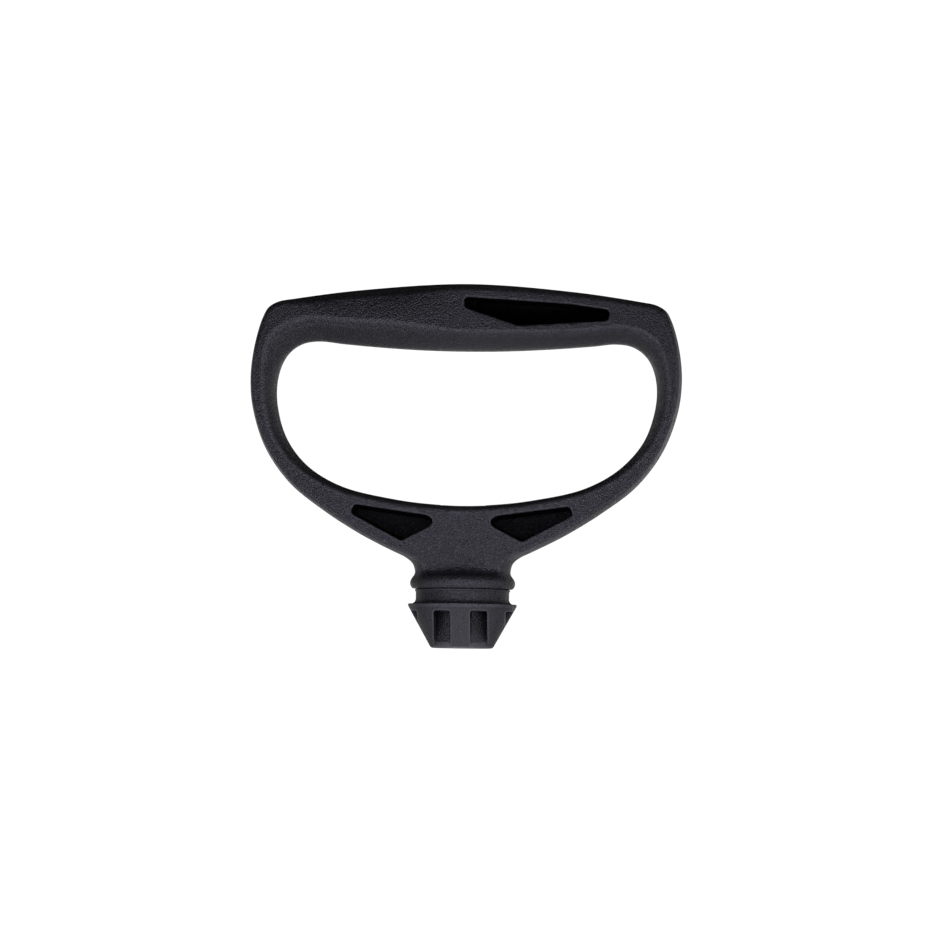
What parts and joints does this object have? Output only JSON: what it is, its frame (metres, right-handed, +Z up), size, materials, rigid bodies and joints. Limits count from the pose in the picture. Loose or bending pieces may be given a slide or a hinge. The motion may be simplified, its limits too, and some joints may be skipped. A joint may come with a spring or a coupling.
{
  "type": "rope pull handle",
  "caption": "Moulded D-shaped pull handle on a ringed neck, with a ribbed conical nose that seats itself and swivels, a central rope bore and a covered knot pocket.",
  "frame": {"origin": "centre of the nose's flat tip, which is the lowest face of the object", "axes": "+Z up the rope bore from the nose tip to the grip, +X along the grip, -Y the front, the side that the lone grip pocket on +X opens to"},
  "size_m": [0.1248, 0.0314, 0.1055],
  "materials": {
    "moulding": "fine spark-eroded grain, glass-filled nylon",
    "cap": "fine grain",
    "stainless": "turned",
    "seal": "smooth nitrile"
  },
  "bodies": {
    "nose": {"ribbed_nose": "moulding", "rope_ferrule": "stainless", "retaining_ring": "stainless", "o_ring": "seal"},
    "handle": {"handle_frame": "moulding", "thrust_washer": "stainless", "knot_washer": "stainless"},
    "cap": {"knot_cap": "cap"}
  },
  "joints": [
    {"name": "handle_swivel", "type": "hinge", "parent": "nose", "child": "handle", "pos_m": [0, 0, 0.017], "axis": [0, 0, 1], "continuous": true},
    {"name": "cap_lift", "type": "slide", "parent": "handle", "child": "cap", "axis": [0, 0, 1], "range_m": [0, 0.016]}
  ]
}
